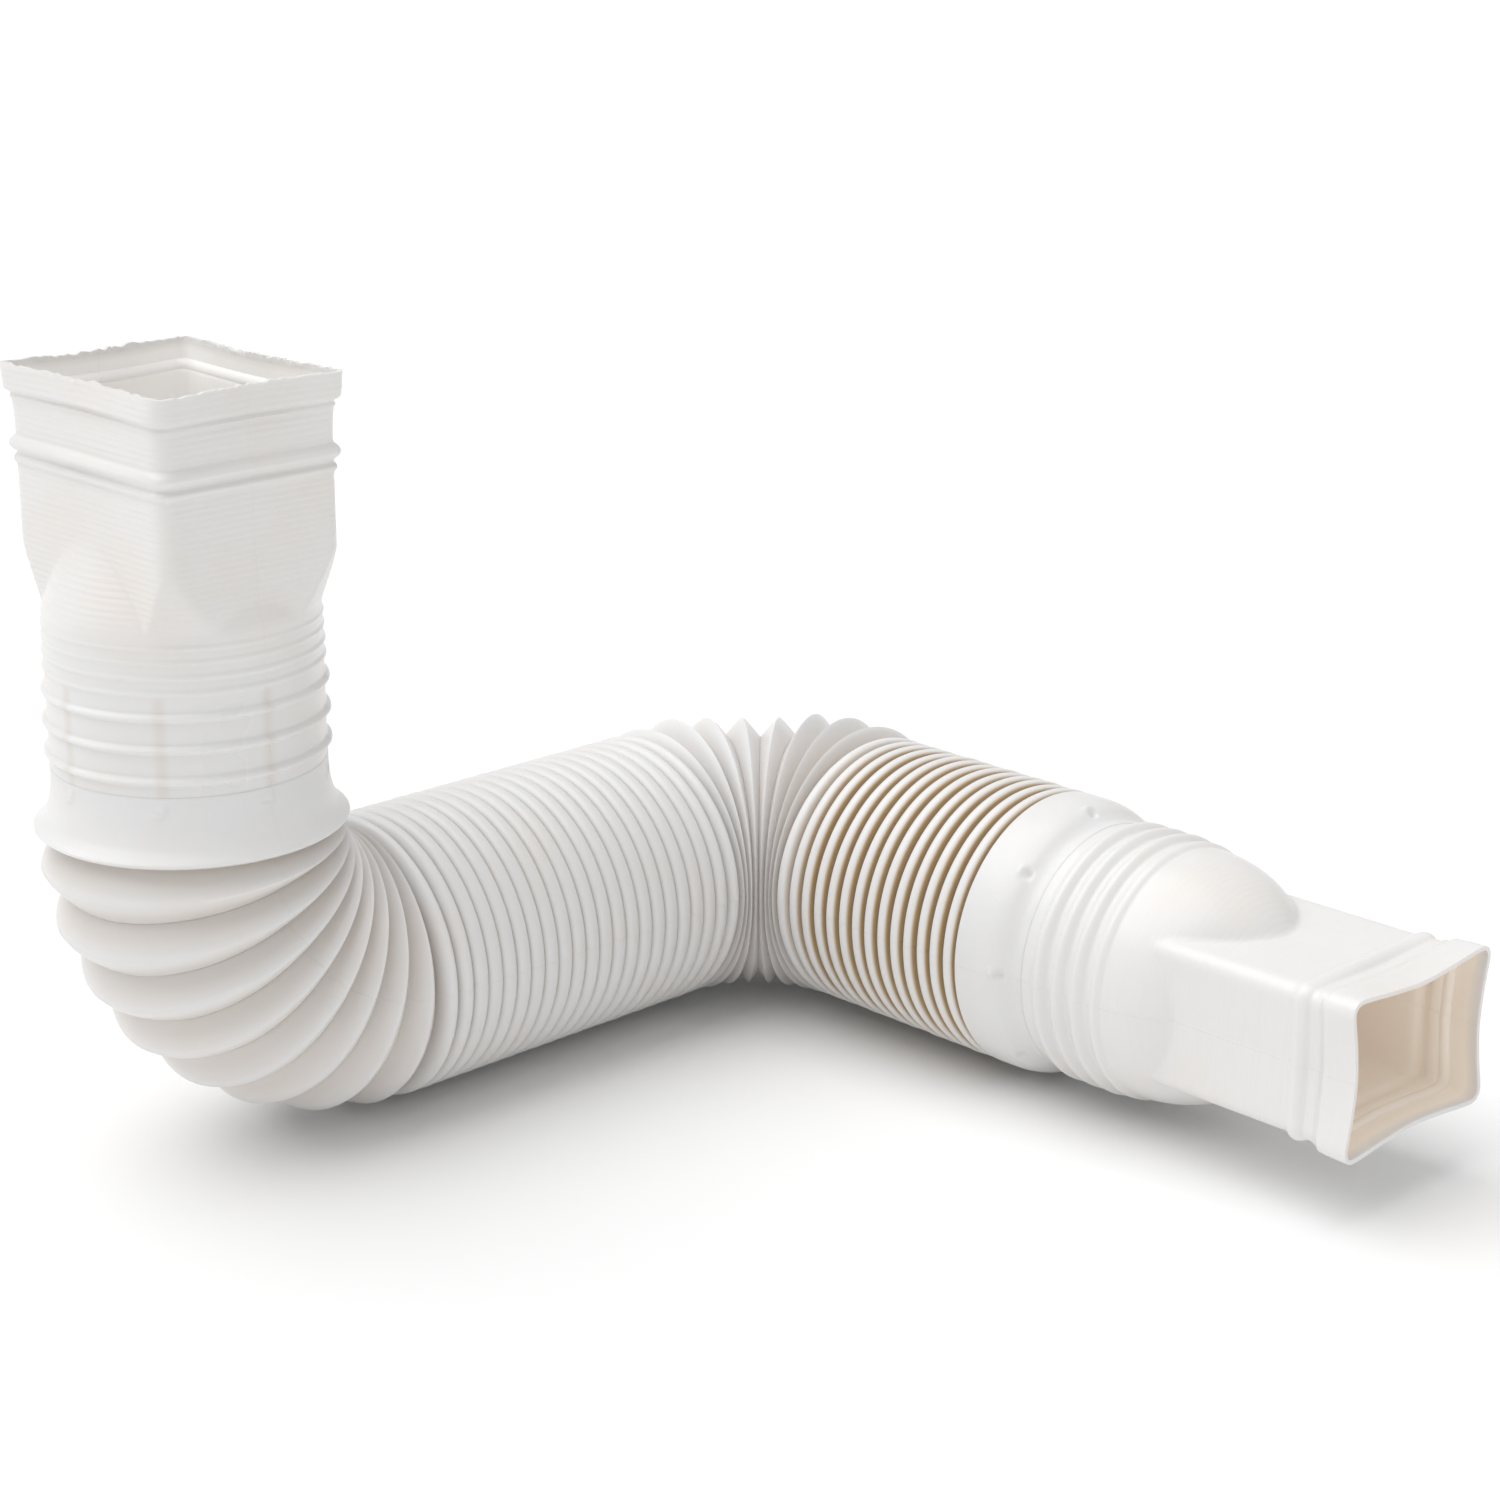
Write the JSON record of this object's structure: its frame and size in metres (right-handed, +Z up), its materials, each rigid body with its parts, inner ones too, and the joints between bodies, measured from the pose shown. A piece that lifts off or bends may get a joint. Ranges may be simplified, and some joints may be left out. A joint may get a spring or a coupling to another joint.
{
  "type": "flexible downspout duct",
  "caption": "Pleated white vinyl duct bent through two quarter turns, with a rectangular ribbed connector on each end.",
  "frame": {"origin": "middle of the duct's footprint on the ground", "axes": "+Z up out of the inlet; the first leg runs along +X and the outlet leaves along -Y"},
  "size_m": [0.4248, 0.415, 0.314],
  "materials": {
    "connector_vinyl": "smooth blow-moulded white vinyl, slightly translucent",
    "collar_vinyl": "smooth white vinyl",
    "pleated_vinyl": "thin white vinyl with warm shadow in the folds"
  },
  "bodies": {
    "inlet_connector": {"inlet_connector": "connector_vinyl"},
    "inlet_cuff": {"inlet_cuff": "collar_vinyl", "elbow_1_pleat_01": "pleated_vinyl"},
    "elbow_1_pleat_02": {"elbow_1_pleat_02": "pleated_vinyl"},
    "elbow_1_pleat_03": {"elbow_1_pleat_03": "pleated_vinyl"},
    "elbow_1_pleat_04": {"elbow_1_pleat_04": "pleated_vinyl"},
    "elbow_1_pleat_05": {"elbow_1_pleat_05": "pleated_vinyl"},
    "elbow_1_pleat_06": {"elbow_1_pleat_06": "pleated_vinyl"},
    "elbow_1_pleat_07": {"elbow_1_pleat_07": "pleated_vinyl"},
    "elbow_1_pleat_08": {"elbow_1_pleat_08": "pleated_vinyl"},
    "leg_1_pleat_01": {"leg_1_pleat_01": "pleated_vinyl"},
    "leg_1_pleat_02": {"leg_1_pleat_02": "pleated_vinyl"},
    "leg_1_pleat_03": {"leg_1_pleat_03": "pleated_vinyl"},
    "leg_1_pleat_04": {"leg_1_pleat_04": "pleated_vinyl"},
    "leg_1_pleat_05": {"leg_1_pleat_05": "pleated_vinyl"},
    "leg_1_pleat_06": {"leg_1_pleat_06": "pleated_vinyl"},
    "leg_1_pleat_07": {"leg_1_pleat_07": "pleated_vinyl"},
    "leg_1_pleat_08": {"leg_1_pleat_08": "pleated_vinyl"},
    "leg_1_pleat_09": {"leg_1_pleat_09": "pleated_vinyl"},
    "leg_1_pleat_10": {"leg_1_pleat_10": "pleated_vinyl"},
    "leg_1_pleat_11": {"leg_1_pleat_11": "pleated_vinyl"},
    "leg_1_pleat_12": {"leg_1_pleat_12": "pleated_vinyl"},
    "leg_1_pleat_13": {"leg_1_pleat_13": "pleated_vinyl"},
    "leg_1_pleat_14": {"leg_1_pleat_14": "pleated_vinyl"},
    "leg_1_pleat_15": {"leg_1_pleat_15": "pleated_vinyl"},
    "leg_1_pleat_16": {"leg_1_pleat_16": "pleated_vinyl"},
    "leg_1_pleat_17": {"leg_1_pleat_17": "pleated_vinyl"},
    "leg_1_pleat_18": {"leg_1_pleat_18": "pleated_vinyl"},
    "leg_1_pleat_19": {"leg_1_pleat_19": "pleated_vinyl"},
    "leg_1_pleat_20": {"leg_1_pleat_20": "pleated_vinyl"},
    "leg_1_pleat_21": {"leg_1_pleat_21": "pleated_vinyl"},
    "leg_1_pleat_22": {"leg_1_pleat_22": "pleated_vinyl"},
    "elbow_2_pleat_01": {"elbow_2_pleat_01": "pleated_vinyl"},
    "elbow_2_pleat_02": {"elbow_2_pleat_02": "pleated_vinyl"},
    "elbow_2_pleat_03": {"elbow_2_pleat_03": "pleated_vinyl"},
    "elbow_2_pleat_04": {"elbow_2_pleat_04": "pleated_vinyl"},
    "elbow_2_pleat_05": {"elbow_2_pleat_05": "pleated_vinyl"},
    "elbow_2_pleat_06": {"elbow_2_pleat_06": "pleated_vinyl"},
    "elbow_2_pleat_07": {"elbow_2_pleat_07": "pleated_vinyl"},
    "elbow_2_pleat_08": {"elbow_2_pleat_08": "pleated_vinyl"},
    "leg_2_pleat_01": {"leg_2_pleat_01": "pleated_vinyl"},
    "leg_2_pleat_02": {"leg_2_pleat_02": "pleated_vinyl"},
    "leg_2_pleat_03": {"leg_2_pleat_03": "pleated_vinyl"},
    "leg_2_pleat_04": {"leg_2_pleat_04": "pleated_vinyl"},
    "leg_2_pleat_05": {"leg_2_pleat_05": "pleated_vinyl"},
    "leg_2_pleat_06": {"leg_2_pleat_06": "pleated_vinyl"},
    "leg_2_pleat_07": {"leg_2_pleat_07": "pleated_vinyl"},
    "leg_2_pleat_08": {"leg_2_pleat_08": "pleated_vinyl"},
    "leg_2_pleat_09": {"leg_2_pleat_09": "pleated_vinyl"},
    "leg_2_pleat_10": {"leg_2_pleat_10": "pleated_vinyl"},
    "leg_2_pleat_11": {"leg_2_pleat_11": "pleated_vinyl"},
    "leg_2_pleat_12": {"leg_2_pleat_12": "pleated_vinyl"},
    "leg_2_pleat_13": {"leg_2_pleat_13": "pleated_vinyl"},
    "outlet_collar": {"outlet_collar": "collar_vinyl", "leg_2_pleat_14": "pleated_vinyl"},
    "outlet_connector": {"outlet_connector": "connector_vinyl"}
  },
  "joints": [
    {"name": "elbow_1_bend", "type": "hinge", "parent": "leg_1_pleat_01", "child": "elbow_1_pleat_08", "pos_m": [-0.08485, 0.1485, 0.05937], "axis": [0, 1, 0], "range_deg": [-11.25, 1.25], "deforming": ["elbow_1_pleat_08"]},
    {"name": "elbow_1_bend_07", "type": "hinge", "parent": "elbow_1_pleat_08", "child": "elbow_1_pleat_07", "pos_m": [-0.09946, 0.1485, 0.06227], "axis": [0, 1, 0], "range_deg": [-11.25, 1.25], "deforming": ["elbow_1_pleat_07"]},
    {"name": "elbow_1_bend_06", "type": "hinge", "parent": "elbow_1_pleat_07", "child": "elbow_1_pleat_06", "pos_m": [-0.11323, 0.1485, 0.06797], "axis": [0, 1, 0], "range_deg": [-11.25, 1.25], "deforming": ["elbow_1_pleat_06"]},
    {"name": "elbow_1_bend_05", "type": "hinge", "parent": "elbow_1_pleat_06", "child": "elbow_1_pleat_05", "pos_m": [-0.12561, 0.1485, 0.07625], "axis": [0, 1, 0], "range_deg": [-11.25, 1.25], "deforming": ["elbow_1_pleat_05"]},
    {"name": "elbow_1_bend_04", "type": "hinge", "parent": "elbow_1_pleat_05", "child": "elbow_1_pleat_04", "pos_m": [-0.13615, 0.1485, 0.08679], "axis": [0, 1, 0], "range_deg": [-11.25, 1.25], "deforming": ["elbow_1_pleat_04"]},
    {"name": "elbow_1_bend_03", "type": "hinge", "parent": "elbow_1_pleat_04", "child": "elbow_1_pleat_03", "pos_m": [-0.14443, 0.1485, 0.09917], "axis": [0, 1, 0], "range_deg": [-11.25, 1.25], "deforming": ["elbow_1_pleat_03"]},
    {"name": "elbow_1_bend_02", "type": "hinge", "parent": "elbow_1_pleat_03", "child": "elbow_1_pleat_02", "pos_m": [-0.15013, 0.1485, 0.11294], "axis": [0, 1, 0], "range_deg": [-11.25, 1.25], "deforming": ["elbow_1_pleat_02"]},
    {"name": "elbow_1_bend_01", "type": "hinge", "parent": "elbow_1_pleat_02", "child": "inlet_cuff", "pos_m": [-0.15303, 0.1485, 0.12755], "axis": [0, 1, 0], "range_deg": [-11.25, 1.25], "deforming": ["elbow_1_pleat_01"]},
    {"name": "leg_1_extend", "type": "slide", "parent": "leg_1_pleat_01", "child": "leg_1_pleat_02", "axis": [1, 0, 0], "range_m": [0, 0.0106], "deforming": ["leg_1_pleat_02"]},
    {"name": "leg_1_extend_03", "type": "slide", "parent": "leg_1_pleat_02", "child": "leg_1_pleat_03", "axis": [1, 0, 0], "range_m": [0, 0.0106], "deforming": ["leg_1_pleat_03"]},
    {"name": "leg_1_extend_04", "type": "slide", "parent": "leg_1_pleat_03", "child": "leg_1_pleat_04", "axis": [1, 0, 0], "range_m": [0, 0.0106], "deforming": ["leg_1_pleat_04"]},
    {"name": "leg_1_extend_05", "type": "slide", "parent": "leg_1_pleat_04", "child": "leg_1_pleat_05", "axis": [1, 0, 0], "range_m": [0, 0.0106], "deforming": ["leg_1_pleat_05"]},
    {"name": "leg_1_extend_06", "type": "slide", "parent": "leg_1_pleat_05", "child": "leg_1_pleat_06", "axis": [1, 0, 0], "range_m": [0, 0.0106], "deforming": ["leg_1_pleat_06"]},
    {"name": "leg_1_extend_07", "type": "slide", "parent": "leg_1_pleat_06", "child": "leg_1_pleat_07", "axis": [1, 0, 0], "range_m": [0, 0.0106], "deforming": ["leg_1_pleat_07"]},
    {"name": "leg_1_extend_08", "type": "slide", "parent": "leg_1_pleat_07", "child": "leg_1_pleat_08", "axis": [1, 0, 0], "range_m": [0, 0.0106], "deforming": ["leg_1_pleat_08"]},
    {"name": "leg_1_extend_09", "type": "slide", "parent": "leg_1_pleat_08", "child": "leg_1_pleat_09", "axis": [1, 0, 0], "range_m": [0, 0.0106], "deforming": ["leg_1_pleat_09"]},
    {"name": "leg_1_extend_10", "type": "slide", "parent": "leg_1_pleat_09", "child": "leg_1_pleat_10", "axis": [1, 0, 0], "range_m": [0, 0.0106], "deforming": ["leg_1_pleat_10"]},
    {"name": "leg_1_extend_11", "type": "slide", "parent": "leg_1_pleat_10", "child": "leg_1_pleat_11", "axis": [1, 0, 0], "range_m": [0, 0.0106], "deforming": ["leg_1_pleat_11"]},
    {"name": "leg_1_extend_12", "type": "slide", "parent": "leg_1_pleat_11", "child": "leg_1_pleat_12", "axis": [1, 0, 0], "range_m": [0, 0.0106], "deforming": ["leg_1_pleat_12"]},
    {"name": "leg_1_extend_13", "type": "slide", "parent": "leg_1_pleat_12", "child": "leg_1_pleat_13", "axis": [1, 0, 0], "range_m": [0, 0.0106], "deforming": ["leg_1_pleat_13"]},
    {"name": "leg_1_extend_14", "type": "slide", "parent": "leg_1_pleat_13", "child": "leg_1_pleat_14", "axis": [1, 0, 0], "range_m": [0, 0.0106], "deforming": ["leg_1_pleat_14"]},
    {"name": "leg_1_extend_15", "type": "slide", "parent": "leg_1_pleat_14", "child": "leg_1_pleat_15", "axis": [1, 0, 0], "range_m": [0, 0.0106], "deforming": ["leg_1_pleat_15"]},
    {"name": "leg_1_extend_16", "type": "slide", "parent": "leg_1_pleat_15", "child": "leg_1_pleat_16", "axis": [1, 0, 0], "range_m": [0, 0.0106], "deforming": ["leg_1_pleat_16"]},
    {"name": "leg_1_extend_17", "type": "slide", "parent": "leg_1_pleat_16", "child": "leg_1_pleat_17", "axis": [1, 0, 0], "range_m": [0, 0.0106], "deforming": ["leg_1_pleat_17"]},
    {"name": "leg_1_extend_18", "type": "slide", "parent": "leg_1_pleat_17", "child": "leg_1_pleat_18", "axis": [1, 0, 0], "range_m": [0, 0.0106], "deforming": ["leg_1_pleat_18"]},
    {"name": "leg_1_extend_19", "type": "slide", "parent": "leg_1_pleat_18", "child": "leg_1_pleat_19", "axis": [1, 0, 0], "range_m": [0, 0.0106], "deforming": ["leg_1_pleat_19"]},
    {"name": "leg_1_extend_20", "type": "slide", "parent": "leg_1_pleat_19", "child": "leg_1_pleat_20", "axis": [1, 0, 0], "range_m": [0, 0.0106], "deforming": ["leg_1_pleat_20"]},
    {"name": "leg_1_extend_21", "type": "slide", "parent": "leg_1_pleat_20", "child": "leg_1_pleat_21", "axis": [1, 0, 0], "range_m": [0, 0.0106], "deforming": ["leg_1_pleat_21"]},
    {"name": "leg_1_extend_22", "type": "slide", "parent": "leg_1_pleat_21", "child": "leg_1_pleat_22", "axis": [1, 0, 0], "range_m": [0, 0.0106], "deforming": ["leg_1_pleat_22"]},
    {"name": "elbow_2_bend", "type": "hinge", "parent": "leg_1_pleat_22", "child": "elbow_2_pleat_01", "pos_m": [0.09206, 0.14817, 0.059], "axis": [0, 0, -1], "range_deg": [-11.25, 0], "deforming": ["elbow_2_pleat_01"]},
    {"name": "elbow_2_bend_02", "type": "hinge", "parent": "elbow_2_pleat_01", "child": "elbow_2_pleat_02", "pos_m": [0.10514, 0.14557, 0.059], "axis": [0, 0, -1], "range_deg": [-11.25, 0], "deforming": ["elbow_2_pleat_02"]},
    {"name": "elbow_2_bend_03", "type": "hinge", "parent": "elbow_2_pleat_02", "child": "elbow_2_pleat_03", "pos_m": [0.11746, 0.14047, 0.059], "axis": [0, 0, -1], "range_deg": [-11.25, 0], "deforming": ["elbow_2_pleat_03"]},
    {"name": "elbow_2_bend_04", "type": "hinge", "parent": "elbow_2_pleat_03", "child": "elbow_2_pleat_04", "pos_m": [0.12854, 0.13306, 0.059], "axis": [0, 0, -1], "range_deg": [-11.25, 0], "deforming": ["elbow_2_pleat_04"]},
    {"name": "elbow_2_bend_05", "type": "hinge", "parent": "elbow_2_pleat_04", "child": "elbow_2_pleat_05", "pos_m": [0.13797, 0.12364, 0.059], "axis": [0, 0, -1], "range_deg": [-11.25, 0], "deforming": ["elbow_2_pleat_05"]},
    {"name": "elbow_2_bend_06", "type": "hinge", "parent": "elbow_2_pleat_05", "child": "elbow_2_pleat_06", "pos_m": [0.14537, 0.11256, 0.059], "axis": [0, 0, -1], "range_deg": [-11.25, 0], "deforming": ["elbow_2_pleat_06"]},
    {"name": "elbow_2_bend_07", "type": "hinge", "parent": "elbow_2_pleat_06", "child": "elbow_2_pleat_07", "pos_m": [0.15047, 0.10024, 0.059], "axis": [0, 0, -1], "range_deg": [-11.25, 0], "deforming": ["elbow_2_pleat_07"]},
    {"name": "elbow_2_bend_08", "type": "hinge", "parent": "elbow_2_pleat_07", "child": "elbow_2_pleat_08", "pos_m": [0.15307, 0.08717, 0.059], "axis": [0, 0, -1], "range_deg": [-11.25, 0], "deforming": ["elbow_2_pleat_08"]},
    {"name": "leg_2_extend", "type": "slide", "parent": "elbow_2_pleat_08", "child": "leg_2_pleat_01", "axis": [0, -1, 0], "range_m": [0, 0.0106], "deforming": ["leg_2_pleat_01"]},
    {"name": "leg_2_extend_02", "type": "slide", "parent": "leg_2_pleat_01", "child": "leg_2_pleat_02", "axis": [0, -1, 0], "range_m": [0, 0.0106], "deforming": ["leg_2_pleat_02"]},
    {"name": "leg_2_extend_03", "type": "slide", "parent": "leg_2_pleat_02", "child": "leg_2_pleat_03", "axis": [0, -1, 0], "range_m": [0, 0.0106], "deforming": ["leg_2_pleat_03"]},
    {"name": "leg_2_extend_04", "type": "slide", "parent": "leg_2_pleat_03", "child": "leg_2_pleat_04", "axis": [0, -1, 0], "range_m": [0, 0.0106], "deforming": ["leg_2_pleat_04"]},
    {"name": "leg_2_extend_05", "type": "slide", "parent": "leg_2_pleat_04", "child": "leg_2_pleat_05", "axis": [0, -1, 0], "range_m": [0, 0.0106], "deforming": ["leg_2_pleat_05"]},
    {"name": "leg_2_extend_06", "type": "slide", "parent": "leg_2_pleat_05", "child": "leg_2_pleat_06", "axis": [0, -1, 0], "range_m": [0, 0.0106], "deforming": ["leg_2_pleat_06"]},
    {"name": "leg_2_extend_07", "type": "slide", "parent": "leg_2_pleat_06", "child": "leg_2_pleat_07", "axis": [0, -1, 0], "range_m": [0, 0.0106], "deforming": ["leg_2_pleat_07"]},
    {"name": "leg_2_extend_08", "type": "slide", "parent": "leg_2_pleat_07", "child": "leg_2_pleat_08", "axis": [0, -1, 0], "range_m": [0, 0.0106], "deforming": ["leg_2_pleat_08"]},
    {"name": "leg_2_extend_09", "type": "slide", "parent": "leg_2_pleat_08", "child": "leg_2_pleat_09", "axis": [0, -1, 0], "range_m": [0, 0.0106], "deforming": ["leg_2_pleat_09"]},
    {"name": "leg_2_extend_10", "type": "slide", "parent": "leg_2_pleat_09", "child": "leg_2_pleat_10", "axis": [0, -1, 0], "range_m": [0, 0.0106], "deforming": ["leg_2_pleat_10"]},
    {"name": "leg_2_extend_11", "type": "slide", "parent": "leg_2_pleat_10", "child": "leg_2_pleat_11", "axis": [0, -1, 0], "range_m": [0, 0.0106], "deforming": ["leg_2_pleat_11"]},
    {"name": "leg_2_extend_12", "type": "slide", "parent": "leg_2_pleat_11", "child": "leg_2_pleat_12", "axis": [0, -1, 0], "range_m": [0, 0.0106], "deforming": ["leg_2_pleat_12"]},
    {"name": "leg_2_extend_13", "type": "slide", "parent": "leg_2_pleat_12", "child": "leg_2_pleat_13", "axis": [0, -1, 0], "range_m": [0, 0.0106], "deforming": ["leg_2_pleat_13"]},
    {"name": "leg_2_extend_14", "type": "slide", "parent": "leg_2_pleat_13", "child": "outlet_collar", "axis": [0, -1, 0], "range_m": [0, 0.0106], "deforming": ["leg_2_pleat_14"]},
    {"name": "inlet_swivel", "type": "hinge", "parent": "inlet_cuff", "child": "inlet_connector", "pos_m": [-0.1534, 0.1485, 0.163], "axis": [0, 0, 1], "range_deg": [-90, 90]},
    {"name": "outlet_swivel", "type": "hinge", "parent": "outlet_collar", "child": "outlet_connector", "pos_m": [0.1534, -0.0545, 0.059], "axis": [0, -1, 0], "range_deg": [-90, 90]}
  ],
  "couplings": [
    {"joint": "elbow_1_bend_07", "follows": "elbow_1_bend", "ratio": 1},
    {"joint": "elbow_1_bend_06", "follows": "elbow_1_bend", "ratio": 1},
    {"joint": "elbow_1_bend_05", "follows": "elbow_1_bend", "ratio": 1},
    {"joint": "elbow_1_bend_04", "follows": "elbow_1_bend", "ratio": 1},
    {"joint": "elbow_1_bend_03", "follows": "elbow_1_bend", "ratio": 1},
    {"joint": "elbow_1_bend_02", "follows": "elbow_1_bend", "ratio": 1},
    {"joint": "elbow_1_bend_01", "follows": "elbow_1_bend", "ratio": 1},
    {"joint": "leg_1_extend_03", "follows": "leg_1_extend", "ratio": 1},
    {"joint": "leg_1_extend_04", "follows": "leg_1_extend", "ratio": 1},
    {"joint": "leg_1_extend_05", "follows": "leg_1_extend", "ratio": 1},
    {"joint": "leg_1_extend_06", "follows": "leg_1_extend", "ratio": 1},
    {"joint": "leg_1_extend_07", "follows": "leg_1_extend", "ratio": 1},
    {"joint": "leg_1_extend_08", "follows": "leg_1_extend", "ratio": 1},
    {"joint": "leg_1_extend_09", "follows": "leg_1_extend", "ratio": 1},
    {"joint": "leg_1_extend_10", "follows": "leg_1_extend", "ratio": 1},
    {"joint": "leg_1_extend_11", "follows": "leg_1_extend", "ratio": 1},
    {"joint": "leg_1_extend_12", "follows": "leg_1_extend", "ratio": 1},
    {"joint": "leg_1_extend_13", "follows": "leg_1_extend", "ratio": 1},
    {"joint": "leg_1_extend_14", "follows": "leg_1_extend", "ratio": 1},
    {"joint": "leg_1_extend_15", "follows": "leg_1_extend", "ratio": 1},
    {"joint": "leg_1_extend_16", "follows": "leg_1_extend", "ratio": 1},
    {"joint": "leg_1_extend_17", "follows": "leg_1_extend", "ratio": 1},
    {"joint": "leg_1_extend_18", "follows": "leg_1_extend", "ratio": 1},
    {"joint": "leg_1_extend_19", "follows": "leg_1_extend", "ratio": 1},
    {"joint": "leg_1_extend_20", "follows": "leg_1_extend", "ratio": 1},
    {"joint": "leg_1_extend_21", "follows": "leg_1_extend", "ratio": 1},
    {"joint": "leg_1_extend_22", "follows": "leg_1_extend", "ratio": 1},
    {"joint": "elbow_2_bend_02", "follows": "elbow_2_bend", "ratio": 1},
    {"joint": "elbow_2_bend_03", "follows": "elbow_2_bend", "ratio": 1},
    {"joint": "elbow_2_bend_04", "follows": "elbow_2_bend", "ratio": 1},
    {"joint": "elbow_2_bend_05", "follows": "elbow_2_bend", "ratio": 1},
    {"joint": "elbow_2_bend_06", "follows": "elbow_2_bend", "ratio": 1},
    {"joint": "elbow_2_bend_07", "follows": "elbow_2_bend", "ratio": 1},
    {"joint": "elbow_2_bend_08", "follows": "elbow_2_bend", "ratio": 1},
    {"joint": "leg_2_extend_02", "follows": "leg_2_extend", "ratio": 1},
    {"joint": "leg_2_extend_03", "follows": "leg_2_extend", "ratio": 1},
    {"joint": "leg_2_extend_04", "follows": "leg_2_extend", "ratio": 1},
    {"joint": "leg_2_extend_05", "follows": "leg_2_extend", "ratio": 1},
    {"joint": "leg_2_extend_06", "follows": "leg_2_extend", "ratio": 1},
    {"joint": "leg_2_extend_07", "follows": "leg_2_extend", "ratio": 1},
    {"joint": "leg_2_extend_08", "follows": "leg_2_extend", "ratio": 1},
    {"joint": "leg_2_extend_09", "follows": "leg_2_extend", "ratio": 1},
    {"joint": "leg_2_extend_10", "follows": "leg_2_extend", "ratio": 1},
    {"joint": "leg_2_extend_11", "follows": "leg_2_extend", "ratio": 1},
    {"joint": "leg_2_extend_12", "follows": "leg_2_extend", "ratio": 1},
    {"joint": "leg_2_extend_13", "follows": "leg_2_extend", "ratio": 1},
    {"joint": "leg_2_extend_14", "follows": "leg_2_extend", "ratio": 1}
  ]
}
